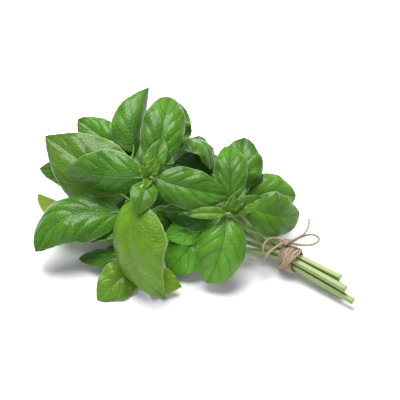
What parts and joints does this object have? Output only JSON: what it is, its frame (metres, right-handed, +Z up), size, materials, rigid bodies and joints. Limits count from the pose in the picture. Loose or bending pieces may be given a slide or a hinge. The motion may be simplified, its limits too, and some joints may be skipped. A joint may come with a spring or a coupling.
{
  "type": "bunch of sweet basil",
  "caption": "Bunch of fresh sweet basil lying down, leafy stems tied with jute twine in a bow near their cut ends.",
  "frame": {"origin": "centre of the bunch's footprint, on the surface it lies on", "axes": "+X from the leafy head along the stems to their cut ends, +Y to the left of that direction, +Z up"},
  "size_m": [0.2558, 0.1684, 0.0918],
  "materials": {
    "basil_leaf": "fresh green leaf and pale green stem, soft satin sheen",
    "jute_twine": "dry twisted jute, tan, matt"
  },
  "bodies": {
    "root": {"sprig_centre": "basil_leaf", "sprig_right": "basil_leaf", "sprig_upper": "basil_leaf", "sprig_left": "basil_leaf", "sprig_front": "basil_leaf", "sprig_back": "basil_leaf", "sprig_low": "basil_leaf", "twine_tie": "jute_twine", "twine_loop_right": "jute_twine", "twine_loop_left": "jute_twine", "twine_tail_right": "jute_twine", "twine_tail_left": "jute_twine"}
  },
  "joints": []
}
